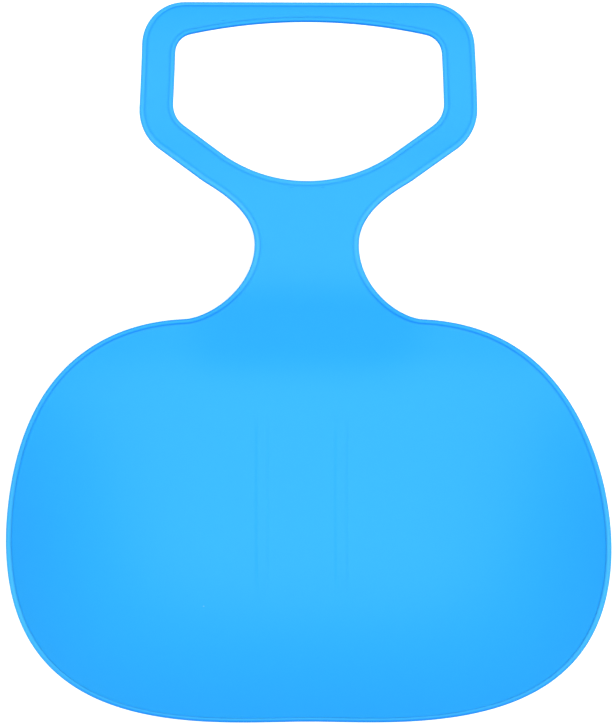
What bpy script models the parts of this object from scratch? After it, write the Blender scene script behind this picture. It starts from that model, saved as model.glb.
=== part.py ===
"""Snow slider: a small seat sled with a dished pan, a neck and a handle loop.

The real one is a single polyethylene moulding, so everything starts as one
formed sheet with a round bead along its edges. The sheet is then divided into
its moulded sections at two narrow seams, and two keels go underneath.

Metres, +Z up, +Y towards the handle. The origin is under the middle of the
plan, on the surface that the keels stand on.
"""

import math

import bmesh
import bpy
from mathutils import Vector
from mathutils.geometry import interpolate_bezier

# Plan of the seat pan, outside the bead
PAN_WIDTH = 0.4028
PAN_REAR_REACH = 0.1182       # from the widest station back to the rear edge
PAN_FRONT_REACH = 0.1485      # from the widest station forward to the shoulders
SHOULDER_WIDTH = 0.1596       # across the two shoulder corners
SHOULDER_SLOPE = math.radians(2.8)

# Plan of the neck
NECK_WIDTH = 0.0696
NECK_REACH = 0.0497           # from the shoulders forward to the narrowest station

# Plan of the handle loop
HANDLE_WIDTH = 0.2264         # across its lower corners
HANDLE_REACH = 0.1607         # from the narrowest station forward to the front edge
HANDLE_CORNER_REACH = 0.0734  # from the narrowest station forward to the lower corners
ARM_START_WIDTH = 0.1408      # where the arms leave the neck's curve
ARM_ANGLE = math.radians(35.8)
SIDE_LEAN = math.radians(2.35)
LOWER_CORNER_RADIUS = 0.0317
UPPER_CORNER_RADIUS = 0.0293

# How full the plan's curves are: lengths of their handles as shares of their spans
REAR_FULLNESS = (0.305, 1.130)
SIDE_FULLNESS = (0.215, 0.913)
SHOULDER_FULLNESS = (0.374, 0.575)
WAIST_FULLNESS = (0.566, 0.228)

# Hand hole, by what it leaves of the loop round it
GRIP_DEPTH = 0.0133           # front bar, at its middle
SIDE_BAR_WIDTH = 0.0223
ARM_WIDTH = 0.0223
HOLE_ARM_ANGLE = math.radians(35.9)
HOLE_ARCH_ANGLE = math.radians(12.05)
HOLE_BASE_RADIUS = 0.0988
HOLE_LOWER_RADIUS = 0.0171
HOLE_UPPER_RADIUS = 0.013

# Section
WALL = 0.0024
BEAD_DIAMETER = 0.0038

# Form of the seat's walls
SIDE_RISE = 0.063
SIDE_STEEPNESS = 2.85
SIDE_DROP = 0.46              # share of their height that the sides lose by the shoulders
SIDE_DROP_REACH = 0.178       # from the shoulders back to where the sides start to drop
REAR_RISE = 0.057
REAR_STEEPNESS = 2.37
REAR_FOOT_REACH = 0.149       # from the rear edge forward to the foot of the rear wall

# Form of the front wall, which runs up into the neck
RAMP_FOOT_REACH = 0.060       # from the shoulders back to its foot
RAMP_RUN = 0.109
RAMP_RISE = 0.038
RAMP_SOFTNESS = 0.37
RAMP_HALF_WIDTH = 0.072       # where it falls off towards the shoulders
RAMP_EDGE_SHARPNESS = 8.7
RAMP_SIDE_SHARE = 0.66        # share of its rise that is left at the shoulders

# Form of the handle, along the middle line
HANDLE_RISE = 0.013
HANDLE_RISE_START = 0.020     # from the narrowest station
HANDLE_RISE_RUN = 0.090
GRIP_DROOP = 0.012
GRIP_DROOP_RUN = 0.052

# Keels under the pan
KEEL_SPACING = 0.053
KEEL_HEIGHT = 0.005
KEEL_FOOT_WIDTH = 0.0045
KEEL_ROOT_WIDTH = 0.0065
KEEL_FLAT_RISE = 0.0025       # how far the floor climbs before the keels follow it
KEEL_FRONT_REACH = 0.052      # from the shoulders back to the keels' front ends
KEEL_LENGTH = 0.140
KEEL_END_RUN = 0.016
KEEL_END_HEIGHT = 0.0016

# Seams between the moulded sections
SEAM_GAP = 0.0003
NECK_REAR_SEAM = 0.009        # forward of the shoulders
NECK_FRONT_SEAM = 0.026       # forward of the narrowest station

# Fineness of the model
CELL = 0.010
CURVE_STEPS = 16
CORNER_STEPS = 7
KEEL_CELL = 0.005
BEAD_RESOLUTION = 2           # eight sides
CLOSEST = 0.0006              # outline points nearer to each other than this are dropped
WELD = 0.00001
CUTTER_MARGIN = 0.05
ALL_BEND = 0.5                # softness of a rise with no straight stretch

BLUE = (0.028, 0.415, 0.960, 1.0)
ROUGHNESS = 0.35

# Stations along the middle line
LENGTH = PAN_REAR_REACH + PAN_FRONT_REACH + NECK_REACH + HANDLE_REACH
REAR_Y = -LENGTH / 2
WIDEST_Y = REAR_Y + PAN_REAR_REACH
SHOULDER_Y = WIDEST_Y + PAN_FRONT_REACH
WAIST_Y = SHOULDER_Y + NECK_REACH
FRONT_Y = WAIST_Y + HANDLE_REACH
FLOOR_Z = KEEL_HEIGHT + WALL / 2
BEAD_RADIUS = BEAD_DIAMETER / 2


def crossing(point, heading, other, other_heading):
    """Where the line through point along its heading meets the other line."""
    offset = other - point
    across = heading.x * other_heading.y - heading.y * other_heading.x
    along = (offset.x * other_heading.y - offset.y * other_heading.x) / across
    return point + heading * along


def curve(start, start_handle, end_handle, end, steps):
    """Points along one Bezier stretch, without its first point."""
    return interpolate_bezier(start, start_handle, end_handle, end, steps + 1)[1:]


def fillet(before, corner, after, radius, steps):
    """Points along the arc that rounds a corner between two straight edges."""
    back = (before - corner).normalized()
    ahead = (after - corner).normalized()
    half_angle = back.angle(ahead) / 2
    middle = corner + (back + ahead).normalized() * (radius / math.sin(half_angle))
    first = corner + back * (radius / math.tan(half_angle)) - middle
    last = corner + ahead * (radius / math.tan(half_angle)) - middle
    turn = first.angle_signed(last)
    start_angle = math.atan2(first.y, first.x)
    angles = [start_angle - turn * step / steps for step in range(steps + 1)]
    return [middle + radius * Vector((math.cos(a), math.sin(a))) for a in angles]


def direction(angle):
    return Vector((math.cos(angle), math.sin(angle)))


def handle_corners():
    """The outer lower corner, the arm's direction and the side's direction."""
    corner = Vector((HANDLE_WIDTH / 2, WAIST_Y + HANDLE_CORNER_REACH))
    return corner, direction(ARM_ANGLE), direction(math.pi / 2 + SIDE_LEAN)


def outline():
    """Right half of the outer edge, from the rear middle to the front middle."""
    rear = Vector((0, REAR_Y))
    widest = Vector((PAN_WIDTH / 2, WIDEST_Y))
    shoulder = Vector((SHOULDER_WIDTH / 2, SHOULDER_Y))
    waist = Vector((NECK_WIDTH / 2, WAIST_Y))
    inwards = direction(math.pi - SHOULDER_SLOPE)
    points = [rear]
    points += curve(rear, rear + Vector((REAR_FULLNESS[0] * PAN_WIDTH / 2, 0)),
                    widest - Vector((0, REAR_FULLNESS[1] * PAN_REAR_REACH)), widest, CURVE_STEPS)
    points += curve(widest, widest + Vector((0, SIDE_FULLNESS[0] * PAN_FRONT_REACH)),
                    shoulder - inwards * SIDE_FULLNESS[1] * (widest.x - shoulder.x), shoulder,
                    CURVE_STEPS)
    points += curve(shoulder, shoulder + inwards * SHOULDER_FULLNESS[0] * (shoulder.x - waist.x),
                    waist - Vector((0, SHOULDER_FULLNESS[1] * NECK_REACH)), waist, CORNER_STEPS)

    corner, arm, side = handle_corners()
    arm_start = corner - arm * ((corner.x - ARM_START_WIDTH / 2) / arm.x)
    points += curve(waist, waist + Vector((0, WAIST_FULLNESS[0] * (arm_start.y - waist.y))),
                    arm_start - arm * WAIST_FULLNESS[1] * (arm_start.x - waist.x), arm_start,
                    CORNER_STEPS)
    front = Vector((0, FRONT_Y))
    top = crossing(corner, side, front, Vector((1, 0)))
    points += fillet(arm_start, corner, top, LOWER_CORNER_RADIUS, CORNER_STEPS)
    points += fillet(corner, top, front, UPPER_CORNER_RADIUS, CORNER_STEPS)
    points.append(front)
    return points


def hand_hole():
    """Right half of the hand hole's edge, from its front middle to its rear middle."""
    corner, arm, side = handle_corners()
    side_line = corner + Vector((-side.y, side.x)) * SIDE_BAR_WIDTH
    hole_arm = direction(HOLE_ARM_ANGLE)
    arm_line = corner + Vector((-hole_arm.y, hole_arm.x)) * ARM_WIDTH
    base = crossing(arm_line, hole_arm, Vector((0, 0)), Vector((0, 1)))
    lower = crossing(arm_line, hole_arm, side_line, side)
    arch_end = HOLE_UPPER_RADIUS / math.tan((math.pi / 2 + HOLE_ARCH_ANGLE + SIDE_LEAN) / 2)
    front_side = crossing(side_line, side, Vector((0, FRONT_Y - GRIP_DEPTH)), Vector((1, 0)))
    arch_reach = front_side.x / math.cos(HOLE_ARCH_ANGLE) - arch_end
    arch_radius = arch_reach / math.tan(HOLE_ARCH_ANGLE)
    peak = Vector((0, FRONT_Y - GRIP_DEPTH + arch_radius * (1 / math.cos(HOLE_ARCH_ANGLE) - 1)))
    upper = crossing(peak, direction(-HOLE_ARCH_ANGLE), side_line, side)

    arch = fillet(mirrored(upper), peak, upper, arch_radius, 2 * CORNER_STEPS)
    foot = fillet(lower, base, mirrored(lower), HOLE_BASE_RADIUS, 2 * CORNER_STEPS)
    points = arch[CORNER_STEPS:]
    points += fillet(peak, upper, lower, HOLE_UPPER_RADIUS, CORNER_STEPS)
    points += fillet(upper, lower, base, HOLE_LOWER_RADIUS, CORNER_STEPS)
    points += foot[:CORNER_STEPS + 1]
    return points


def mirrored(point):
    return Vector((-point.x, point.y))


def thinned(points):
    """The points without any that lies on the one before it."""
    kept = [points[0]]
    kept += [b for a, b in zip(points, points[1:]) if (b - a).length > CLOSEST]
    return kept


def inset(points, distance):
    """The line of points moved to its left, with its ends kept on the middle line."""
    moved = []
    for before, point, after in zip([mirrored(points[1])] + points[:-1], points,
                                    points[1:] + [mirrored(points[-2])]):
        along = (after - before).normalized()
        moved.append(point + Vector((-along.y, along.x)) * distance)
    moved[0].x = moved[-1].x = 0
    return moved


def eased(share, softness):
    """0 to 1 with an even slope in the middle and a soft bend at both ends."""
    share = min(max(share, 0), 1)
    scale = 2 * softness * (1 - softness)
    if share < softness:
        return share * share / scale
    if share > 1 - softness:
        return 1 - (1 - share) ** 2 / scale
    return (share - softness / 2) / (1 - softness)


def past_shoulders(y):
    """0 over the seat, 1 from the narrowest station of the neck forward."""
    return eased((y - SHOULDER_Y) / NECK_REACH, ALL_BEND)


def walls_height(x, y):
    """Height of the seat's side and rear walls over its floor."""
    aside = abs(x) / (PAN_WIDTH / 2)
    drop = SIDE_DROP * eased((y - SHOULDER_Y) / SIDE_DROP_REACH + 1, ALL_BEND)
    back = max(REAR_Y + REAR_FOOT_REACH - y, 0) / REAR_FOOT_REACH
    sides = SIDE_RISE * (1 - drop) * aside ** SIDE_STEEPNESS
    return (sides + REAR_RISE * back ** REAR_STEEPNESS) * (1 - past_shoulders(y))


def ramp_height(x, y):
    """Height of the front wall, which is lower beside the neck than on the middle line."""
    beside = 1 - 1 / (1 + (abs(x) / RAMP_HALF_WIDTH) ** RAMP_EDGE_SHARPNESS)
    lost = (1 - RAMP_SIDE_SHARE) * beside * (1 - past_shoulders(y))
    climb = eased((y - SHOULDER_Y + RAMP_FOOT_REACH) / RAMP_RUN, RAMP_SOFTNESS)
    return RAMP_RISE * (1 - lost) * climb


def handle_height(y):
    """Height of the handle over the neck."""
    rise = HANDLE_RISE * eased((y - WAIST_Y - HANDLE_RISE_START) / HANDLE_RISE_RUN, ALL_BEND)
    droop = GRIP_DROOP * (max(y - FRONT_Y + GRIP_DROOP_RUN, 0) / GRIP_DROOP_RUN) ** 2
    return rise - droop


def formed(point):
    """The middle of the wall over a point of the plan."""
    height = walls_height(point.x, point.y) + ramp_height(point.x, point.y)
    return Vector((point.x, point.y, FLOOR_Z + height + handle_height(point.y)))


def material(name):
    blue = bpy.data.materials.new(name)
    blue.use_nodes = True
    shader = blue.node_tree.nodes["Principled BSDF"]
    shader.inputs["Base Color"].default_value = BLUE
    shader.inputs["Roughness"].default_value = ROUGHNESS
    shader.inputs["Metallic"].default_value = 0.0
    return blue


def add_object(name, mesh, collection):
    piece = bpy.data.objects.new(name, mesh)
    collection.objects.link(piece)
    return piece


def as_cutter(piece):
    piece.hide_render = True
    piece.display_type = "WIRE"


def evaluated_mesh(piece):
    """A plain mesh of an object with its modifiers or bevel applied and its caps welded."""
    graph = bpy.context.evaluated_depsgraph_get()
    mesh = bpy.data.meshes.new_from_object(piece.evaluated_get(graph), depsgraph=graph)
    shape = bmesh.new()
    shape.from_mesh(mesh)
    bmesh.ops.remove_doubles(shape, verts=shape.verts, dist=WELD)
    shape.to_mesh(mesh)
    shape.free()
    return mesh


def sheet(edge, hole, collection):
    """The formed wall of the whole moulding, without its beads."""
    shape = bmesh.new()
    loop = [Vector((p.x, p.y, 0)) for p in edge + hole]
    shape.faces.new([shape.verts.new(point) for point in loop])
    for axis, low, high in ((0, 0, PAN_WIDTH / 2), (1, REAR_Y, FRONT_Y)):
        cells = math.ceil((high - low) / CELL)
        normal = Vector((axis == 0, axis == 1, 0))
        for cell in range(1, cells):
            place = normal * (low + (high - low) * cell / cells)
            geometry = shape.verts[:] + shape.edges[:] + shape.faces[:]
            bmesh.ops.bisect_plane(shape, geom=geometry, dist=WELD, plane_co=place,
                                   plane_no=normal)
    for vertex in shape.verts:
        vertex.co = formed(vertex.co)
    bmesh.ops.triangulate(shape, faces=shape.faces)
    mesh = bpy.data.meshes.new("sheet")
    shape.to_mesh(mesh)
    shape.free()

    piece = add_object("sheet", mesh, collection)
    mirror = piece.modifiers.new("Both sides", "MIRROR")
    mirror.merge_threshold = WELD
    thickness = piece.modifiers.new("Wall", "SOLIDIFY")
    thickness.thickness = WALL
    thickness.offset = 0
    thickness.use_even_offset = True
    thickness.use_quality_normals = True
    return piece


def bead(name, half, collection):
    """A round bead along a closed edge, given its right half."""
    whole = half + [mirrored(point) for point in reversed(half[1:-1])]
    path = bpy.data.curves.new(name, "CURVE")
    path.dimensions = "3D"
    path.bevel_depth = BEAD_RADIUS
    path.bevel_resolution = BEAD_RESOLUTION
    spline = path.splines.new("POLY")
    spline.points.add(len(whole) - 1)
    for point, place in zip(spline.points, whole):
        point.co = (*formed(place), 1)
    spline.use_cyclic_u = True
    line = bpy.data.objects.new(name + "_line", path)
    collection.objects.link(line)
    mesh = evaluated_mesh(line)
    bpy.data.objects.remove(line)
    tube = add_object(name, mesh, collection)
    as_cutter(tube)
    return tube


def join(piece, other, operation):
    step = piece.modifiers.new(other.name, "BOOLEAN")
    step.operation = operation
    step.object = other
    step.solver = "EXACT"
    step.use_self = True


def box(name, low, high, collection):
    shape = bmesh.new()
    bmesh.ops.create_cube(shape, size=1)
    size = high - low
    bmesh.ops.scale(shape, verts=shape.verts, vec=size)
    bmesh.ops.translate(shape, verts=shape.verts, vec=(low + high) / 2)
    mesh = bpy.data.meshes.new(name)
    shape.to_mesh(mesh)
    shape.free()
    piece = add_object(name, mesh, collection)
    as_cutter(piece)
    return piece


def sections(moulding, parts, cutters):
    """The moulding divided into the seat pan, the neck and the handle loop."""
    rear_seam = SHOULDER_Y + NECK_REAR_SEAM
    front_seam = WAIST_Y + NECK_FRONT_SEAM
    spans = {
        "seat_pan": (REAR_Y - CUTTER_MARGIN, rear_seam - SEAM_GAP / 2),
        "neck": (rear_seam + SEAM_GAP / 2, front_seam - SEAM_GAP / 2),
        "handle_loop": (front_seam + SEAM_GAP / 2, FRONT_Y + CUTTER_MARGIN),
    }
    side = PAN_WIDTH / 2 + CUTTER_MARGIN
    top = FLOOR_Z + SIDE_RISE + REAR_RISE + RAMP_RISE + HANDLE_RISE + CUTTER_MARGIN
    for name, (low, high) in spans.items():
        piece = add_object(name, moulding.copy(), parts)
        span = box(name + "_span", Vector((-side, low, -CUTTER_MARGIN)),
                   Vector((side, high, top)), cutters)
        join(piece, span, "INTERSECT")
        piece.data.materials.append(material(name))


def keel(name, x, parts):
    """A low rail under the floor, flat where it runs and lifted at both ends."""
    front = SHOULDER_Y - KEEL_FRONT_REACH
    rear = front - KEEL_LENGTH
    shape = bmesh.new()
    bmesh.ops.create_cube(shape, size=1)
    bmesh.ops.scale(shape, verts=shape.verts, vec=(1, KEEL_LENGTH, 1))
    bmesh.ops.translate(shape, verts=shape.verts, vec=(0, (front + rear) / 2, 0))
    cells = math.ceil(KEEL_LENGTH / KEEL_CELL)
    for cell in range(1, cells):
        geometry = shape.verts[:] + shape.edges[:] + shape.faces[:]
        bmesh.ops.bisect_plane(shape, geom=geometry, dist=WELD,
                               plane_co=(0, rear + KEEL_LENGTH * cell / cells, 0),
                               plane_no=(0, 1, 0))
    for vertex in shape.verts:
        side = math.copysign(1, vertex.co.x)
        y = vertex.co.y
        root = underside(x + side * KEEL_ROOT_WIDTH / 2, y)
        end = min(y - rear, front - y, KEEL_END_RUN) / KEEL_END_RUN
        if vertex.co.z > 0:
            vertex.co = (x + side * KEEL_ROOT_WIDTH / 2, y, root)
        else:
            foot = max(root - KEEL_HEIGHT - KEEL_FLAT_RISE + SEAM_GAP, 0)
            lift = (root - foot - KEEL_END_HEIGHT) * (1 - end) ** 2
            vertex.co = (x + side * KEEL_FOOT_WIDTH / 2, y, foot + lift)
    bmesh.ops.triangulate(shape, faces=shape.faces)
    mesh = bpy.data.meshes.new(name)
    shape.to_mesh(mesh)
    shape.free()
    piece = add_object(name, mesh, parts)
    piece.data.materials.append(material(name))


def underside(x, y):
    """Height of the pan's underside, less the seam, over a point of the plan."""
    return formed(Vector((x, y))).z - WALL / 2 - SEAM_GAP


def main():
    for old in list(bpy.data.objects):
        bpy.data.objects.remove(old)
    parts = bpy.data.collections.new("snow_slider")
    cutters = bpy.data.collections.new("cutters")
    for collection in (parts, cutters):
        bpy.context.scene.collection.children.link(collection)

    edge = inset(thinned(outline()), BEAD_RADIUS)
    hole = inset(thinned(hand_hole()), BEAD_RADIUS)
    blank = sheet(edge, hole, cutters)
    for name, half in (("edge_bead", edge), ("hand_hole_bead", hole)):
        join(blank, bead(name, half, cutters), "UNION")
    moulding = evaluated_mesh(blank)
    bpy.data.objects.remove(blank)
    sections(moulding, parts, cutters)
    keel("keel_left", -KEEL_SPACING / 2, parts)
    keel("keel_right", KEEL_SPACING / 2, parts)


main()
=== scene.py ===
"""Looks of the snow slider: the seamless blue moulding, its keels and the studio."""

import math
from collections import namedtuple

import bmesh
import bpy
from bpy.props import FloatProperty, FloatVectorProperty, PointerProperty
from mathutils import Euler, Matrix, Vector
from mathutils.geometry import interpolate_bezier
from mathutils.kdtree import KDTree


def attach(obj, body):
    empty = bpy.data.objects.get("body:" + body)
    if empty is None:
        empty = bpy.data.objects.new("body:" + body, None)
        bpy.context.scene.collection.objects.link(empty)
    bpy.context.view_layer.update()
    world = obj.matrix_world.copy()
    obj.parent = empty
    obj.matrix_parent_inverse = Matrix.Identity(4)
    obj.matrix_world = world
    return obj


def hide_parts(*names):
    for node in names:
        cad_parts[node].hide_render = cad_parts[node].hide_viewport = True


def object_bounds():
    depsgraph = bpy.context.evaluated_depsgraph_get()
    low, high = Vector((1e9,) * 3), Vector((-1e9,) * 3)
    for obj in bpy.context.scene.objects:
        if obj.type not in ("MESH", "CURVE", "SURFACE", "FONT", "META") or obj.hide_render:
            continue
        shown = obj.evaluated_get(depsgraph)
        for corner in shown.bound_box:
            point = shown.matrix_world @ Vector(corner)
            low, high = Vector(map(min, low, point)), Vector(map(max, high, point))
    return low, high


bl_info = {
    "name": "Snow slider",
    "version": (1, 0, 0),
    "blender": (4, 5, 0),
    "location": "View3D > Sidebar > Slider",
    "description": "Models a one-piece moulded snow slider with its finish and studio",
    "category": "Add Mesh",
}

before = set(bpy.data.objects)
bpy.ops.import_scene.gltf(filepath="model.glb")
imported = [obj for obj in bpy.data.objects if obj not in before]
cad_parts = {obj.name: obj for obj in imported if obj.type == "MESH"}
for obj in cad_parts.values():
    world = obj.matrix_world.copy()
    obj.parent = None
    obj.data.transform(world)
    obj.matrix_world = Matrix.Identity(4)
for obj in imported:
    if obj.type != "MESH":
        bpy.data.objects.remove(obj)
CAD_LOW, CAD_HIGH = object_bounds()
BODY = "root"
MOULDED_NODES = ("seat_pan", "neck", "handle_loop")
WELD = 0.00001      # points nearer than this are one

# How full the outer edge's curves are: lengths of their handles as shares of their spans
REAR_FULLNESS = (0.305, 1.130)
SIDE_FULLNESS = (0.215, 0.913)
SHOULDER_FULLNESS = (0.374, 0.575)
WAIST_FULLNESS = (0.566, 0.228)

# Section of the rim: radii of the hollows between the bead and the wall, points round the
# bead, distances of the wall's top points from the hollow, each with its share of the crease's
# depth, and distances of the points underneath
HOLLOW_ABOVE, HOLLOW_BELOW = 0.00045, 0.0006
BEAD_STEPS = 20
CREASE = ((0.0017, 0), (0.0013, 0.06), (0.0009, 0.3), (0.0006, 0.65), (0.0003, 0.9), (0, 1))
UNDERSIDE = (0.0010, 0.0017)

# Floor over the keels: how far the finer cells reach on both sides of a keel's middle, and the
# shares of a channel's half length that are level and that run out
FINE_REACH = 0.008
CHANNEL_LEVEL, CHANNEL_FADE = 0.55, 0.45

# Keels: flare of the roots and rounding of the feet, each with the share of a shallow depth
# that it may take, the rounded ends in plan, the least depth, and the share of the wall's
# thickness that the top lies in
ROOT_FLARE, ROOT_FLARE_SHARE = 0.0014, 0.6
FOOT_ROUNDING, FOOT_ROUNDING_SHARE = 0.0008, 0.35
NOSE_LENGTH, NOSE_START, NOSE_SWEEP = 0.005, 0.96, 0.88
SHALLOWEST = 0.0002
BURIED_SHARE = 0.3
QUARTER_TURN = [math.radians(degrees) for degrees in (0, 22, 45, 68, 90)]

# Patterns in the plastic, in features per metre, and how strongly they show
MOTTLE_SCALE, MOTTLE_STRENGTH, MOTTLE_RANGE = 9.0, 0.10, (0.94, 1.06)
PEEL_SCALE, PEEL_ROUGHNESS = 850.0, 0.06
GRAIN_SCALE, GRAIN_HEIGHT = 3200.0, 0.3
# How strongly the painted light shows on the beads
PAINTED_LIGHT_STRENGTH = 0.8

# Scuff on the running faces: streaks along Y, how much of them is worn, how sharply it ends,
# how far up the keels it climbs and what it adds to the roughness
STREAK_SCALE = (900.0, 14.0, 200.0)
SCUFF_START, SCUFF_SHARPNESS = 0.42, 4.0
SCUFF_CLIMB = 0.0016
SCUFF_ROUGHNESS = 0.25

# Pale inclusion in the floor: its place, its form as a squeeze along each axis, its radius,
# how sharply it ends and how much it covers
SPECK_PLACE = (-0.0663, -0.163, 0.022)
SPECK_SQUEEZE = (1.0, 1.6, 0.02)
SPECK_RADIUS, SPECK_SHARPNESS, SPECK_COVER = 0.0007, 4000.0, 0.8

# Finish of an edge: shares of the form's bead and groove, then how much painted light lightens the
# bead, how much painted shade darkens the crease inside it, and how much painted shade darkens the
# edge where it turns under; these differ by the way each edge faces
Rim = namedtuple("Rim", "bead groove glow crease under")
PAN_SIDE = Rim(1.15, 0.4, 0.80, 0.20, 0.0)
PAN_SHOULDER = Rim(0.88, 2.2, 0.00, 1.00, 0.25)
PAN_REAR = Rim(0.95, 0.3, 0.60, 0.10, 0.8)
NECK_SIDE = Rim(1.33, 1.1, 0.95, 0.22, 0.1)
ARM_REAR = Rim(1.30, 1.2, 1.00, 0.33, 0.7)
BAR_SIDE = Rim(1.12, 1.0, 0.50, 0.45, 0.0)
GRIP_FRONT = Rim(0.95, 1.0, 0.50, 0.75, 0.0)
HOLE_SIDE = Rim(1.15, 1.0, 0.50, 0.38, 0.0)
HOLE_BASE = Rim(1.05, 1.0, 0.50, 0.36, 0.0)
HOLE_ARCH = Rim(1.15, 0.5, 0.05, 0.22, 1.0)


def length(name, default, description):
    return FloatProperty(name=name, default=default, description=description, unit="LENGTH",
                         precision=4, min=0)


def offset(name, default, description):
    return FloatProperty(name=name, default=default, description=description, unit="LENGTH",
                         precision=5)


def angle(name, degrees, description):
    return FloatProperty(name=name, default=math.radians(degrees), description=description,
                         unit="ROTATION")


def share(name, default, description):
    return FloatProperty(name=name, default=default, description=description, precision=3)


def colour(name, default, description):
    return FloatVectorProperty(name=name, default=default, description=description,
                               subtype="COLOR", size=3, min=0, max=1)


class SliderPlan(bpy.types.PropertyGroup):
    """Plan of the slider, seen from above, outside its bead"""
    pan_width: length("Pan width", 0.4028, "Across the seat pan at its widest")
    pan_rear: length("Pan rear", 0.1182, "From the widest station back to the rear edge")
    pan_front: length("Pan front", 0.1485, "From the widest station to the shoulders")
    shoulder_width: length("Shoulder width", 0.1596, "Across the two shoulder corners")
    shoulder_slope: angle("Shoulder slope", 2.8, "How the shoulders fall away sideways")
    neck_width: length("Neck width", 0.0696, "Across the neck at its narrowest")
    neck_reach: length("Neck reach", 0.0497, "From the shoulders to the narrowest station")
    handle_width: length("Handle width", 0.2264, "Across the handle's lower corners")
    handle_reach: length("Handle reach", 0.1607, "From the narrowest station to the front edge")
    corner_reach: length("Corner reach", 0.0734, "From the narrowest station to the corners")
    arm_start_width: length("Arm start", 0.1408, "Where the arms leave the neck's curve")
    arm_angle: angle("Arm angle", 35.8, "How steeply the arms run out of the neck")
    side_lean: angle("Side lean", 2.35, "How the side bars draw in towards the front")
    lower_radius: length("Lower corner", 0.0317, "Radius of the handle's lower corners")
    upper_radius: length("Upper corner", 0.0293, "Radius of the handle's upper corners")
    grip_depth: length("Grip depth", 0.0133, "Front bar at its middle")
    side_bar: length("Side bar", 0.0223, "Width of the handle's side bars")
    arm_width: length("Arm width", 0.0223, "Width of the handle's arms")
    hole_arm_angle: angle("Hole arm angle", 35.9, "Slope of the hole's lower edges")
    hole_arch_angle: angle("Hole arch", 12.05, "Slope at the ends of the hole's front arch")
    hole_base_radius: length("Hole base", 0.0988, "Radius at the bottom of the hole")
    hole_lower_radius: length("Hole lower corner", 0.0171, "Radius of its lower corners")
    hole_upper_radius: length("Hole upper corner", 0.013, "Radius of its upper corners")


class SliderForm(bpy.types.PropertyGroup):
    """Heights of the slider, the section of its wall, its keels and the mesh's fineness"""
    wall: length("Wall", 0.0024, "Thickness of the moulded wall")
    bead: length("Bead", 0.0032, "Diameter of the round bead along the edges")
    groove: length("Groove", 0.00015, "Depth of the crease inside the bead")
    side_rise: length("Side rise", 0.063, "Height of the side walls over the floor")
    side_steepness: share("Side steepness", 2.85, "How late and steeply the sides rise")
    side_drop: share("Side drop", 0.46, "Share of their height that the sides lose in front")
    side_drop_reach: length("Side drop reach", 0.178, "From the shoulders back to its start")
    rear_rise: length("Rear rise", 0.057, "Height of the rear wall over the floor")
    rear_steepness: share("Rear steepness", 2.37, "How late and steeply the rear rises")
    rear_foot: length("Rear foot", 0.149, "From the rear edge to the foot of the rear wall")
    ramp_foot: length("Ramp foot", 0.060, "From the shoulders back to the front wall's foot")
    ramp_run: length("Ramp run", 0.109, "Length of the front wall along the middle line")
    ramp_rise: length("Ramp rise", 0.038, "Height of the neck over the floor")
    ramp_softness: share("Ramp softness", 0.37, "Share of the ramp that each bend takes")
    ramp_half_width: length("Ramp half width", 0.072, "Where the ramp falls off sideways")
    ramp_sharpness: share("Ramp sharpness", 8.7, "How suddenly the ramp falls off")
    ramp_side: share("Ramp side", 0.66, "Share of the rise left at the shoulders")
    handle_rise: length("Handle rise", 0.013, "How far the handle climbs past the neck")
    rise_start: length("Rise start", 0.020, "From the narrowest station to the climb")
    rise_run: length("Rise run", 0.090, "Length of the climb")
    droop: length("Grip droop", 0.012, "How far the grip bar rolls over")
    droop_run: length("Droop run", 0.052, "Length of the roll-over")
    keel_spacing: length("Keel spacing", 0.053, "Between the two keels' middles")
    keel_height: length("Keel height", 0.005, "Under the middle of the floor")
    keel_foot: length("Keel foot", 0.0045, "Width of the running faces")
    keel_root: length("Keel root", 0.0065, "Width where the keels leave the floor")
    keel_flat_rise: length("Keel flat rise", 0.0025, "Floor climb before keels follow it")
    keel_front: length("Keel front", 0.052, "From the shoulders back to the keels' front ends")
    keel_length: length("Keel length", 0.140, "Length of the keels")
    keel_end: length("Keel end", 0.016, "Length of the lifted ends")
    channel_depth: length("Channel depth", 0.00065, "Of the sunk floor over each keel")
    channel_width: length("Channel width", 0.0076, "Between the middles of its two slopes")
    channel_slope: length("Channel slope", 0.0024, "Width of each of its two slopes")
    cell: length("Cell", 0.003, "Fineness of the wide surfaces")
    step: length("Step", 0.0025, "Spacing of the points along the edges")


class SliderFinish(bpy.types.PropertyGroup):
    """Colours and surface of the moulded plastic, with the colours of its painted light and
    painted shade
    """
    blue: colour("Blue", (0.028, 0.415, 0.96), "The plastic's own colour")
    # Painted light: the lighter blue on the beads, whose strength each edge's finish gives
    painted_light_blue: colour("Edge blue", (0.065, 0.49, 0.96), "Where light passes the thin bead")
    # Painted shade: the darker blue in the creases inside the beads and on edges that turn under
    painted_shade_blue: colour("Crease blue", (0.006, 0.25, 0.90), "In the crease inside the bead")
    speck: colour("Speck", (0.16, 0.54, 0.97), "The pale inclusion in the floor")
    scuff: colour("Scuff", (0.20, 0.52, 0.93), "Rubbed plastic on the running faces")
    roughness: share("Roughness", 0.40, "Of the open surface")
    gloss: share("Gloss", 0.10, "Strength of what the surface mirrors")
    translucency: share("Translucency", 0.10, "Share of the light that spreads inside")


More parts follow.
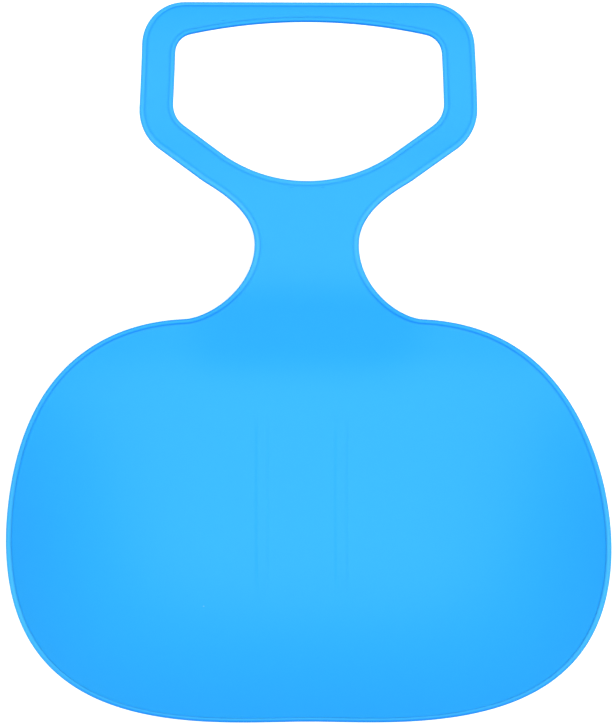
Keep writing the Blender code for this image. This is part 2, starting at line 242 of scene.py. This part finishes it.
class SliderStudio(bpy.types.PropertyGroup):
    """Camera, lamps and floor"""
    camera_distance: length("Camera distance", 10.0, "From the camera to the slider")
    frame_height: length("Frame height", 0.4837, "What the picture's long side shows")
    camera_x: offset("Camera x", 0.00154, "From the middle of the slider to the picture's")
    camera_y: offset("Camera y", -0.00132, "From the middle of the slider to the picture's")
    camera_lean: angle("Camera lean", 5.05, "How far the camera looks in from the left side")
    camera_nod: angle("Camera nod", 0.65, "How far the camera looks in from the front")
    camera_roll: angle("Camera roll", 0.115, "Turn of the picture")
    key: FloatProperty(name="Key", default=3.55, description="Strength of the light overhead")
    key_spread: angle("Key spread", 84.0, "How wide the light overhead looks from the ground")
    key_lean: angle("Key lean", 1.0, "How far the light comes in from the left side")
    fill: share("Fill", 0.05, "Light from all round")
    floor_reach: length("Floor reach", 20.0, "From the slider to the floor's sides")
    floor_grey: share("Floor grey", 0.86, "Lightness of the floor")
    floor_glow: share("Floor glow", 0.62, "Light that the floor adds as a background")


def direction(turn):
    """A step of length 1 in plan, turned from +X towards +Y."""
    return Vector((math.cos(turn), math.sin(turn)))


def crossing(point, along, other, other_along):
    """Where the line through point meets the line through the other point."""
    between = other - point
    across = along.x * other_along.y - along.y * other_along.x
    reach = (between.x * other_along.y - between.y * other_along.x) / across
    return point + along * reach


def mirrored(point):
    return Vector((-point.x, point.y))


def eased(part, softness=0.5):
    """0 to 1 with an even slope in the middle and a soft bend at both ends."""
    part = min(max(part, 0), 1)
    scale = 2 * softness * (1 - softness)
    if part < softness:
        return part * part / scale
    if part > 1 - softness:
        return 1 - (1 - part) ** 2 / scale
    return (part - softness / 2) / (1 - softness)


class Outline:
    """The slider's edges in plan, as right halves with points at an even spacing."""

    def __init__(self, plan, step):
        self.plan = plan
        self.step = step
        reach = plan.pan_rear + plan.pan_front + plan.neck_reach + plan.handle_reach
        self.rear = -reach / 2
        self.widest = self.rear + plan.pan_rear
        self.shoulder = self.widest + plan.pan_front
        self.waist = self.shoulder + plan.neck_reach
        self.front = self.waist + plan.handle_reach

    def curve(self, start, start_handle, end_handle, end):
        """Points of one Bezier stretch, without its start."""
        span = ((start_handle - start).length + (end_handle - start_handle).length
                + (end - end_handle).length)
        steps = math.ceil(span / self.step)
        return interpolate_bezier(start, start_handle, end_handle, end, steps + 1)[1:]

    def fillet(self, before, corner, after, radius):
        """An arc in a corner, in an even number of steps, so that it has a middle point."""
        back = (before - corner).normalized()
        ahead = (after - corner).normalized()
        half_angle = back.angle(ahead) / 2
        middle = corner + (back + ahead).normalized() * (radius / math.sin(half_angle))
        first = corner + back * (radius / math.tan(half_angle)) - middle
        last = corner + ahead * (radius / math.tan(half_angle)) - middle
        turn = first.angle_signed(last)
        start = math.atan2(first.y, first.x)
        steps = max(math.ceil(radius * abs(turn) / self.step), 6)
        steps += steps % 2
        return [middle + radius * direction(start - turn * k / steps) for k in range(steps + 1)]

    def even(self, points):
        """The same line with its long straights divided and its doubles left out."""
        line = [points[0]]
        for point in points[1:]:
            gap = (point - line[-1]).length
            if gap < self.step / 4:
                continue
            pieces = max(round(gap / self.step), 1)
            start = line[-1]
            line += [start.lerp(point, k / pieces) for k in range(1, pieces + 1)]
        line[-1] = points[-1]
        return line

    def corners(self):
        """The handle's sharp lower corner, and the ways that its arm and side bar run."""
        plan = self.plan
        corner = Vector((plan.handle_width / 2, self.waist + plan.corner_reach))
        return corner, direction(plan.arm_angle), direction(math.pi / 2 + plan.side_lean)

    def edge(self):
        """Outer edge, from the rear middle to the front middle."""
        plan = self.plan
        rear = Vector((0, self.rear))
        widest = Vector((plan.pan_width / 2, self.widest))
        shoulder = Vector((plan.shoulder_width / 2, self.shoulder))
        waist = Vector((plan.neck_width / 2, self.waist))
        inwards = direction(math.pi - plan.shoulder_slope)
        up = Vector((0, 1))
        points = [rear]
        points += self.curve(rear, rear + Vector((REAR_FULLNESS[0] * plan.pan_width / 2, 0)),
                             widest - up * REAR_FULLNESS[1] * plan.pan_rear, widest)
        points += self.curve(widest, widest + up * SIDE_FULLNESS[0] * plan.pan_front,
                             shoulder - inwards * SIDE_FULLNESS[1] * (widest.x - shoulder.x),
                             shoulder)
        points += self.curve(shoulder,
                             shoulder + inwards * SHOULDER_FULLNESS[0] * (shoulder.x - waist.x),
                             waist - up * SHOULDER_FULLNESS[1] * plan.neck_reach, waist)
        corner, arm, side = self.corners()
        arm_start = corner - arm * ((corner.x - plan.arm_start_width / 2) / arm.x)
        points += self.curve(waist, waist + up * WAIST_FULLNESS[0] * (arm_start.y - waist.y),
                             arm_start - arm * WAIST_FULLNESS[1] * (arm_start.x - waist.x),
                             arm_start)
        front = Vector((0, self.front))
        top = crossing(corner, side, front, Vector((1, 0)))
        points += self.fillet(arm_start, corner, top, plan.lower_radius)
        points += self.fillet(corner, top, front, plan.upper_radius)
        return self.even(points + [front])

    def hole(self):
        """Edge of the hand hole, from its front middle to its rear middle."""
        plan = self.plan
        corner, arm, side = self.corners()
        side_line = corner + Vector((-side.y, side.x)) * plan.side_bar
        arm = direction(plan.hole_arm_angle)
        arm_line = corner + Vector((-arm.y, arm.x)) * plan.arm_width
        base = crossing(arm_line, arm, Vector((0, 0)), Vector((0, 1)))
        lower = crossing(arm_line, arm, side_line, side)
        arch = plan.hole_arch_angle
        grip = Vector((0, self.front - plan.grip_depth))
        arch_end = plan.hole_upper_radius / math.tan((math.pi / 2 + arch + plan.side_lean) / 2)
        reach = crossing(side_line, side, grip, Vector((1, 0))).x / math.cos(arch) - arch_end
        arch_radius = reach / math.tan(arch)
        peak = grip + Vector((0, arch_radius * (1 / math.cos(arch) - 1)))
        upper = crossing(peak, direction(-arch), side_line, side)
        front = self.fillet(mirrored(upper), peak, upper, arch_radius)
        foot = self.fillet(lower, base, mirrored(lower), plan.hole_base_radius)
        points = front[len(front) // 2:]
        points += self.fillet(peak, upper, lower, plan.hole_upper_radius)
        points += self.fillet(upper, lower, base, plan.hole_lower_radius)
        points += foot[:len(foot) // 2 + 1]
        points[0].x = points[-1].x = 0
        return self.even(points)


class Surface:
    """The middle of the formed wall over the plan, and its slope."""

    def __init__(self, plan, form, outline):
        self.plan = plan
        self.form = form
        self.outline = outline
        self.floor = form.keel_height + form.wall / 2

    def height(self, x, y):
        """Floor, plus the seat's walls, the ramp up to the neck and the handle's climb and roll.

        seat is 1 over the pan and 0 past the neck, so the walls end there.
        """
        form, outline = self.form, self.outline
        seat = 1 - eased((y - outline.shoulder) / self.plan.neck_reach)
        aside = abs(x) / (self.plan.pan_width / 2)
        drop = form.side_drop * eased((y - outline.shoulder) / form.side_drop_reach + 1)
        back = max(outline.rear + form.rear_foot - y, 0) / form.rear_foot
        walls = (form.side_rise * (1 - drop) * aside ** form.side_steepness
                 + form.rear_rise * back ** form.rear_steepness) * seat
        beside = 1 - 1 / (1 + (abs(x) / form.ramp_half_width) ** form.ramp_sharpness)
        climb = eased((y - outline.shoulder + form.ramp_foot) / form.ramp_run, form.ramp_softness)
        ramp = form.ramp_rise * (1 - (1 - form.ramp_side) * beside * seat) * climb
        rise = eased((y - outline.waist - form.rise_start) / form.rise_run)
        roll = (max(y - outline.front + form.droop_run, 0) / form.droop_run) ** 2
        return self.floor + walls + ramp + form.handle_rise * rise - form.droop * roll

    def slope(self, x, y):
        probe = 0.0002
        return Vector(((self.height(x + probe, y) - self.height(x - probe, y)) / (2 * probe),
                       (self.height(x, y + probe) - self.height(x, y - probe)) / (2 * probe)))

    def formed(self, flat):
        """A point of the flat moulding, whose z is its height over the wall's middle."""
        slope = self.slope(flat.x, flat.y)
        normal = Vector((-slope.x, -slope.y, 1)).normalized()
        return Vector((flat.x, flat.y, self.height(flat.x, flat.y))) + normal * flat.z

    def inward(self, point, along):
        """How far the plan moves for each step inwards along the formed surface."""
        slope = self.slope(point.x, point.y)
        normal = Vector((-slope.x, -slope.y, 1))
        edge = Vector((along.x, along.y, slope.dot(along)))
        return normal.cross(edge).normalized().xy


def blended(low, high, part):
    """A finish that lies between two others."""
    return Rim(*(a + (b - a) * part for a, b in zip(low, high)))


def outer_rim(point, out, outline):
    """Finish of the outer edge, with its painted light and painted shade, where out is the way
    that it faces in plan.

    The cubes keep a finish to where the edge faces almost straight back or ahead.
    """
    plan = outline.plan
    ahead, behind = max(out.y, 0), max(-out.y, 0)
    pan = blended(blended(PAN_SIDE, PAN_SHOULDER, ahead), PAN_REAR, behind ** 3)
    arm = blended(NECK_SIDE, ARM_REAR, behind)
    grip = blended(BAR_SIDE, GRIP_FRONT, ahead ** 3)
    past_pan = eased((point.y - outline.shoulder) / plan.neck_reach)
    past_arm = eased((point.y - outline.waist) / plan.corner_reach - 0.5)
    return blended(blended(pan, arm, past_pan), grip, past_arm)


def hole_rim(point, out, outline):
    """Finish of the hand hole's edge, with its painted light and painted shade."""
    base = blended(HOLE_SIDE, HOLE_BASE, max(out.y, 0))
    return blended(base, HOLE_ARCH, max(-out.y, 0))


def rim_section(form, rim):
    """The wall's section at an edge, as (inward, up, painted light, painted shade) from top to
    underside.
    """
    half, radius = form.wall / 2, form.bead * rim.bead / 2
    groove = form.groove * rim.groove
    bottom = half - groove
    reach = math.sqrt((radius + HOLLOW_ABOVE) ** 2 - (bottom + HOLLOW_ABOVE) ** 2)
    lean = math.atan2(bottom + HOLLOW_ABOVE, reach)
    far = radius + reach
    rows = [(far + inwards, half - groove * depth, 0, rim.crease * depth)
            for inwards, depth in CREASE]
    # Out of the crease and onto the bead
    for turn in (0.3, 0.6, 0.9):
        at = math.radians(270) - (math.radians(90) - lean) * turn
        rows.append((far + HOLLOW_ABOVE * math.cos(at),
                     bottom + HOLLOW_ABOVE + HOLLOW_ABOVE * math.sin(at),
                     rim.glow * turn / 2, rim.crease * (1 - turn * 0.4)))
    reach_below = math.sqrt((radius + HOLLOW_BELOW) ** 2 - (half + HOLLOW_BELOW) ** 2)
    lean_below = math.atan2(half + HOLLOW_BELOW, reach_below)
    sweep = 2 * math.pi - lean - lean_below
    # Round the bead, whose outer side counts as turned under and takes painted shade in place of
    # painted light
    for k in range(BEAD_STEPS + 1):
        at = lean + sweep * k / BEAD_STEPS
        turned = min(max(-2 * math.cos(at) - 0.6, 0), 1)
        rows.append((radius + radius * math.cos(at), radius * math.sin(at),
                     rim.glow * (1 - rim.under * turned), rim.under * turned))
    # Back to the wall's underside
    far_below = radius + reach_below
    for turn in (0.4, 0.8, 1):
        at = lean_below + (math.radians(90) - lean_below) * turn
        rows.append((far_below - HOLLOW_BELOW * math.cos(at),
                     -half - HOLLOW_BELOW + HOLLOW_BELOW * math.sin(at), rim.glow * (1 - turn), 0))
    return rows + [(far + inwards, -half, 0, 0) for inwards in UNDERSIDE]


def chain(shape, verts, closed=True):
    """The edges that join points in their order, made where there are none yet."""
    ends = verts[1:] + verts[:1] if closed else verts[1:]
    return [shape.edges.get(pair) or shape.edges.new(pair) for pair in zip(verts, ends)]


def next_row(shape, verts, closed=False):
    """Extrudes a chain of edges once. Returns the new chain's points in the same order."""
    made = bmesh.ops.extrude_edge_only(shape, edges=chain(shape, verts, closed))["geom"]
    fresh = {item for item in made if isinstance(item, bmesh.types.BMVert)}
    return [next(edge.other_vert(vert) for edge in vert.link_edges
                 if edge.other_vert(vert) in fresh) for vert in verts]


def rim_band(shape, line, surface, finish, layers):
    """Sweeps the rim along one edge of the flat moulding. Returns its two inner lines."""
    form = surface.form
    radius = form.bead / 2
    places = []
    for before, point, after in zip([mirrored(line[1])] + line[:-1], line,
                                    line[1:] + [mirrored(line[-2])]):
        along = (after - before).normalized()
        across = Vector((-along.y, along.x))
        inward = surface.inward(point + across * radius, along)
        rows = rim_section(form, finish(point, -across, surface.outline))
        places.append((point + across * radius, inward, rows))
    for middle, inward, _ in (places[0], places[-1]):
        middle.x = inward.x = 0

    first = verts = [shape.verts.new() for _ in places]
    for at in range(len(places[0][2])):
        if at:
            verts = next_row(shape, verts)
        for vert, (middle, inward, rows) in zip(verts, places):
            row = rows[at]
            spot = middle + inward * (row[0] - radius)
            vert.co = (spot.x, spot.y, row[1])
            # Painted light and painted shade of this row go into the mesh's attributes
            for layer, value in zip(layers, row[2:]):
                vert[layer] = value
    return first, verts


def wide_face(shape, outer, hole):
    """One flat face between the outer rim's inner line and the hole's, right half."""
    return bmesh.ops.contextual_create(shape, geom=chain(shape, outer + hole))["faces"][0]


def cut_lines(low, high, cell, fine=()):
    """Even stations between two ends, closer together inside the fine stretches."""
    stations = []
    at = low + cell
    while at < high - cell / 2:
        stations.append(at)
        inside = any(start < at < end for start, end in fine)
        at += cell / 4 if inside else cell
    return stations


def gridded(shape, faces, form, outline):
    """Divides the wide faces into cells, with no sliver along their edges."""
    rim = {vert for face in faces for vert in face.verts}
    keel = form.keel_spacing / 2
    fine = [(keel - FINE_REACH, keel + FINE_REACH)]
    for axis, stations in ((0, cut_lines(0, outline.plan.pan_width / 2, form.cell, fine)),
                           (1, cut_lines(outline.rear, outline.front, form.cell))):
        normal = Vector((axis == 0, axis == 1, 0))
        behind = []
        for station in stations:
            geometry = set(faces)
            for face in faces:
                geometry.update(face.edges)
                geometry.update(face.verts)
            cut = bmesh.ops.bisect_plane(shape, geom=list(geometry), dist=WELD,
                                         plane_co=normal * station, plane_no=normal)
            made = [item for item in cut["geom"] if isinstance(item, bmesh.types.BMFace)]
            faces = [face for face in made if face.calc_center_median()[axis] > station]
            behind += [face for face in made if face.calc_center_median()[axis] <= station]
        faces += behind
    tree = KDTree(len(rim))
    kept = list(rim)
    for at, vert in enumerate(kept):
        tree.insert(vert.co, at)
    tree.balance()
    wide = set(faces)
    targets = {}
    for vert in {vert for face in faces for vert in face.verts} - rim:
        _, at, gap = tree.find(vert.co)
        on_edge = any(face not in wide for face in vert.link_faces)
        off_middle = abs(vert.co.x) > WELD or abs(kept[at].co.x) < WELD
        if on_edge or (gap < form.cell / 2 and off_middle):
            targets[vert] = kept[at]
    bmesh.ops.weld_verts(shape, targetmap=targets)


def sunk(flat, form, outline):
    """How far the floor's top is drawn in over the keels, as a channel with soft ends."""
    front = outline.shoulder - form.keel_front
    middle, reach = front - form.keel_length / 2, form.keel_length / 2
    fade = 1 - eased((abs(flat.y - middle) / reach - CHANNEL_LEVEL) / CHANNEL_FADE)
    aside = abs(abs(flat.x) - form.keel_spacing / 2) - form.channel_width / 2
    return form.channel_depth * fade * (1 - eased(aside / form.channel_slope + 0.5))


def new_object(name, mesh):
    piece = bpy.data.objects.new(name, mesh)
    bpy.context.scene.collection.objects.link(piece)
    return piece


def finished(name, shape, mirror=False):
    """Turns a shape into a smooth, closed object at the origin, mirrored if it is a half."""
    if mirror:
        bmesh.ops.mirror(shape, geom=shape.verts[:] + shape.edges[:] + shape.faces[:],
                         matrix=Matrix.Identity(4), merge_dist=WELD, axis="X")
    bmesh.ops.recalc_face_normals(shape, faces=shape.faces)
    mesh = bpy.data.meshes.new(name)
    shape.to_mesh(mesh)
    shape.free()
    mesh.shade_smooth()
    return new_object(name, mesh)


class Value:
    """A socket that takes part in Python expressions."""

    def __init__(self, paint, socket):
        self.paint = paint
        self.socket = socket

    def maths(self, operation, *others, clamp=False):
        return self.paint.node("ShaderNodeMath", self, *others, operation=operation,
                               use_clamp=clamp)

    def __add__(self, other):
        return self.maths("ADD", other)

    def __sub__(self, other):
        return self.maths("SUBTRACT", other)

    def __rsub__(self, other):
        return self.paint.node("ShaderNodeMath", other, self, operation="SUBTRACT")

    def __mul__(self, other):
        return self.maths("MULTIPLY", other)

    def __truediv__(self, other):
        return self.maths("DIVIDE", other)

    def __rtruediv__(self, other):
        return self.paint.node("ShaderNodeMath", other, self, operation="DIVIDE")

    __radd__ = __add__
    __rmul__ = __mul__


class Paint:
    """Builds the nodes of one material or of the world."""

    def __init__(self, owner):
        owner.use_nodes = True
        self.tree = owner.node_tree

    def node(self, kind, *values, output=0, inputs=None, **settings):
        made = self.tree.nodes.new(kind)
        for key, value in settings.items():
            setattr(made, key, value)
        self.fill(made, dict(enumerate(values)) | (inputs or {}))
        return Value(self, made.outputs[output])

    def fill(self, node, inputs):
        for key, value in inputs.items():
            self.feed(node.inputs[key], value)

    def feed(self, socket, value):
        if isinstance(value, Value):
            self.tree.links.new(value.socket, socket)
        else:
            socket.default_value = value

    def seen(self):
        """1 on the rays that show a background: to the camera, mirrored or through glass."""
        rays = [self.node("ShaderNodeLightPath", output=kind)
                for kind in ("Is Camera Ray", "Is Glossy Ray", "Is Transmission Ray")]
        return rays[0].maths("MAXIMUM", rays[1]).maths("MAXIMUM", rays[2])

    def place(self):
        return self.node("ShaderNodeTexCoord", output="Object")

    def noise(self, scale, detail, where=None):
        return self.node("ShaderNodeTexNoise", where or self.place(),
                         inputs={"Scale": scale, "Detail": detail})

    def attribute(self, name):
        return self.node("ShaderNodeAttribute", output="Fac", attribute_name=name)

    def mix(self, part, low, high):
        low, high = (tuple(c) + (1,) if not isinstance(c, Value) else c for c in (low, high))
        return self.node("ShaderNodeMix", output=2, data_type="RGBA",
                         inputs={"Factor": part, 6: low, 7: high})


def scuffed(paint):
    """Where the running faces are rubbed: streaks along the keels that fade upwards."""
    height = paint.node("ShaderNodeSeparateXYZ", paint.place(), output="Z")
    streaks = paint.node("ShaderNodeMapping", paint.place(), inputs={"Scale": STREAK_SCALE})
    worn = (paint.noise(1.0, 3.0, where=streaks) - SCUFF_START) * SCUFF_SHARPNESS
    low = (1 - height / SCUFF_CLIMB).maths("MAXIMUM", 0.0)
    return worn.maths("MULTIPLY", low, clamp=True)


def speckled(paint):
    """Where the pale inclusion lies, as a small oval in the floor."""
    away = paint.node("ShaderNodeVectorMath", paint.place(), SPECK_PLACE, operation="SUBTRACT")
    away = paint.node("ShaderNodeVectorMath", away, SPECK_SQUEEZE, operation="MULTIPLY")
    reach = paint.node("ShaderNodeVectorMath", away, output="Value", operation="LENGTH")
    inside = (SPECK_RADIUS - reach) * SPECK_SHARPNESS
    return inside.maths("MULTIPLY", SPECK_COVER, clamp=True)


def moulded_plastic(name, finish, rubbed=False):
    """Self-coloured polyethylene with a fine satin skin; on the moulding, painted light on the
    beads and painted shade in the creases and on edges that turn under.
    """
    material = bpy.data.materials.new(name)
    paint = Paint(material)
    mottle = paint.noise(MOTTLE_SCALE, 3.0)
    peel = paint.noise(PEEL_SCALE, 2.0)
    grain = paint.noise(GRAIN_SCALE, 1.0)
    darker, lighter = ([min(c * by, 1) for c in finish.blue] for by in MOTTLE_RANGE)
    tint = paint.mix((mottle - 0.5) * MOTTLE_STRENGTH + 0.5, darker, lighter)
    if rubbed:
        scuff = scuffed(paint)
        tint = paint.mix(scuff, tint, finish.scuff)
        roughness = scuff * SCUFF_ROUGHNESS + finish.roughness
    else:
        # Painted light lightens the beads, and painted shade darkens the creases and the edges
        # that turn under
        tint = paint.mix(paint.attribute("glow") * PAINTED_LIGHT_STRENGTH, tint, finish.painted_light_blue)
        tint = paint.mix(paint.attribute("crease"), tint, finish.painted_shade_blue)
        tint = paint.mix(speckled(paint), tint, finish.speck)
        roughness = (peel - 0.5) * PEEL_ROUGHNESS + finish.roughness
    bump = paint.node("ShaderNodeBump", inputs={"Height": peel + grain * GRAIN_HEIGHT,
                                                "Strength": 0.25, "Distance": 0.00004})
    paint.fill(paint.tree.nodes["Principled BSDF"], {
        "Base Color": tint, "Roughness": roughness, "Normal": bump, "IOR": 1.5,
        "Specular IOR Level": finish.gloss, "Subsurface Weight": finish.translucency,
        "Subsurface Radius": (0.25, 0.6, 1.0), "Subsurface Scale": 0.003})
    return material


class SLIDER_OT_moulding(bpy.types.Operator):
    """Model the seat pan, neck and handle loop as one seamless moulding"""
    bl_idname = "slider.moulding"
    bl_label = "Moulding"

    def execute(self, context):
        scene = context.scene
        plan, form = scene.slider_plan, scene.slider_form
        outline = Outline(plan, form.step)
        surface = Surface(plan, form, outline)
        shape = bmesh.new()
        # Attributes that carry the edges' painted light and painted shade
        layers = [shape.verts.layers.float.new(name) for name in ("glow", "crease")]
        edge = rim_band(shape, outline.edge(), surface, outer_rim, layers)
        hole = rim_band(shape, outline.hole(), surface, hole_rim, layers)
        faces = [wide_face(shape, outer, inner) for outer, inner in zip(edge, hole)]
        gridded(shape, faces, form, outline)
        bmesh.ops.triangulate(shape, faces=[f for f in shape.faces if len(f.verts) > 4])
        for vert in shape.verts:
            flat = vert.co.copy()
            if flat.z > form.wall / 2 - WELD:
                flat.z -= sunk(flat, form, outline)
            vert.co = surface.formed(flat)
        piece = finished("moulding", shape, mirror=True)
        piece.data.materials.append(moulded_plastic("blue_moulding", scene.slider_finish))
        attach(piece, BODY)
        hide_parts(*MOULDED_NODES)
        return {"FINISHED"}


class SLIDER_OT_keels(bpy.types.Operator):
    """Model the two keels under the floor"""
    bl_idname = "slider.keels"
    bl_label = "Keels"

    def execute(self, context):
        scene = context.scene
        plan, form = scene.slider_plan, scene.slider_form
        outline = Outline(plan, form.step)
        surface = Surface(plan, form, outline)
        plastic = moulded_plastic("blue_keels", scene.slider_finish, rubbed=True)
        for name, side in (("keel_left", -1), ("keel_right", 1)):
            piece = finished("moulded_" + name, self.keel(side, form, outline, surface))
            piece.data.materials.append(plastic)
            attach(piece, BODY)
            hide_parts(name)
        return {"FINISHED"}

    @staticmethod
    def keel(side, form, outline, surface):
        """A rail with rounded feet and flared roots, which starts inside the wall."""
        middle = side * form.keel_spacing / 2
        front = outline.shoulder - form.keel_front
        rear = front - form.keel_length
        buried = form.wall * BURIED_SHARE

        def half_section(y):
            """Offset and height of each point, from inside the wall down to the foot."""
            slope = surface.slope(middle, y)
            under = (surface.height(middle, y)
                     - form.wall / 2 * math.sqrt(1 + slope.length_squared) + WELD)
            lowest = max(under - form.keel_height - form.keel_flat_rise, 0)
            end = min(y - rear, front - y)
            lift = (1 - min(end / form.keel_end, 1)) ** 2
            depth = max(under - lowest - (under + buried - lowest) * lift, SHALLOWEST)
            bottom = under - depth
            nose = NOSE_START - min(end / NOSE_LENGTH, 1) * NOSE_SWEEP
            taper = math.sqrt(1 - nose ** 2)
            foot, root = form.keel_foot / 2 * taper, form.keel_root / 2 * taper
            flare = min(ROOT_FLARE, depth * ROOT_FLARE_SHARE)
            rounding = min(FOOT_ROUNDING, depth * FOOT_ROUNDING_SHARE)
            points = [(root + flare, under + buried), (root + flare, under)]
            points += [(root + flare * (1 - math.sin(at)), under - flare * (1 - math.cos(at)))
                       for at in QUARTER_TURN[1:]]
            points += [(foot - rounding + rounding * math.cos(at),
                        bottom + rounding - rounding * math.sin(at)) for at in QUARTER_TURN]
            return points

        ends = [NOSE_LENGTH * (1 - math.cos(math.radians(at))) for at in range(0, 91, 15)]
        straight = form.keel_length - 2 * NOSE_LENGTH
        count = round(straight / form.cell)
        inner = [NOSE_LENGTH + straight * k / count for k in range(1, count)]
        stations = [rear + along for along in
                    ends + inner + [form.keel_length - along for along in reversed(ends)]]
        shape = bmesh.new()
        verts = [shape.verts.new() for _ in half_section(rear) * 2]
        first = verts
        for y in stations:
            if y != stations[0]:
                verts = next_row(shape, verts, closed=True)
            half = half_section(y)
            ring = half + [(-across, up) for across, up in reversed(half)]
            for vert, (across, up) in zip(verts, ring):
                vert.co = (middle + across, y, up)
        for ring in (first, verts):
            bmesh.ops.contextual_create(shape, geom=chain(shape, ring))
        return shape


class SLIDER_OT_studio(bpy.types.Operator):
    """Set up the floor, the lamps and the camera"""
    bl_idname = "slider.studio"
    bl_label = "Studio"

    def execute(self, context):
        scene = context.scene
        studio = scene.slider_studio
        self.floor(studio)
        self.light(scene, studio)
        self.camera(scene, studio)
        scene.view_settings.view_transform = "Standard"
        return {"FINISHED"}

    @staticmethod
    def floor(studio):
        """A pale floor that takes the shadow and shows as white."""
        shape = bmesh.new()
        bmesh.ops.create_grid(shape, x_segments=1, y_segments=1, size=studio.floor_reach)
        mesh = bpy.data.meshes.new("floor")
        shape.to_mesh(mesh)
        shape.free()
        floor = new_object("floor", mesh)
        material = bpy.data.materials.new("pale_floor")
        paint = Paint(material)
        shader = paint.tree.nodes["Principled BSDF"]
        paint.fill(shader, {"Base Color": (studio.floor_grey,) * 3 + (1,), "Roughness": 0.9})
        glow = paint.node("ShaderNodeEmission",
                          inputs={"Strength": paint.seen() * studio.floor_glow})
        both = paint.node("ShaderNodeAddShader", Value(paint, shader.outputs["BSDF"]), glow)
        paint.fill(paint.tree.nodes["Material Output"], {"Surface": both})
        mesh.materials.append(material)

    @staticmethod
    def light(scene, studio):
        """One wide, soft light overhead and a little light from all round."""
        world = bpy.data.worlds.new("studio")
        scene.world = world
        paint = Paint(world)
        paint.fill(paint.tree.nodes["Background"], {
            "Color": (1, 1, 1, 1), "Strength": paint.seen() * (1 - studio.fill) + studio.fill})
        lamp = bpy.data.lights.new("key", "SUN")
        lamp.angle = studio.key_spread
        lamp.energy = studio.key
        key = bpy.data.objects.new("key", lamp)
        scene.collection.objects.link(key)
        key.rotation_euler = (0, -studio.key_lean, 0)

    @staticmethod
    def camera(scene, studio):
        """A distant camera that looks down, a little from the left side and the front."""
        data = bpy.data.cameras.new("camera")
        camera = bpy.data.objects.new("camera", data)
        scene.collection.objects.link(camera)
        scene.camera = camera
        data.sensor_width = 36
        data.lens = data.sensor_width * studio.camera_distance / studio.frame_height
        data.clip_start, data.clip_end = 0.1, 60
        aim = (CAD_LOW + CAD_HIGH) / 2 + Vector((studio.camera_x, studio.camera_y, 0))
        turn = Euler((-studio.camera_nod, -studio.camera_lean, studio.camera_roll))
        back = Vector((0, 0, studio.camera_distance))
        back.rotate(turn)
        camera.location = aim + back
        camera.rotation_euler = turn


class SLIDER_PT_panel(bpy.types.Panel):
    """Lists what the slider is made of"""
    bl_label = "Snow slider"
    bl_idname = "SLIDER_PT_panel"
    bl_space_type = "VIEW_3D"
    bl_region_type = "UI"
    bl_category = "Slider"

    def draw(self, context):
        for operator in OPERATORS:
            self.layout.operator(operator.bl_idname)


GROUPS = {"slider_plan": SliderPlan, "slider_form": SliderForm, "slider_finish": SliderFinish,
          "slider_studio": SliderStudio}
OPERATORS = (SLIDER_OT_moulding, SLIDER_OT_keels, SLIDER_OT_studio)
CLASSES = tuple(GROUPS.values()) + OPERATORS + (SLIDER_PT_panel,)


def register():
    for cls in CLASSES:
        bpy.utils.register_class(cls)
    for name, group in GROUPS.items():
        setattr(bpy.types.Scene, name, PointerProperty(type=group))


def unregister():
    for name in GROUPS:
        delattr(bpy.types.Scene, name)
    for cls in reversed(CLASSES):
        bpy.utils.unregister_class(cls)


def main():
    register()
    bpy.ops.slider.moulding()
    bpy.ops.slider.keels()
    bpy.ops.slider.studio()


if __name__ == "__main__":
    main()
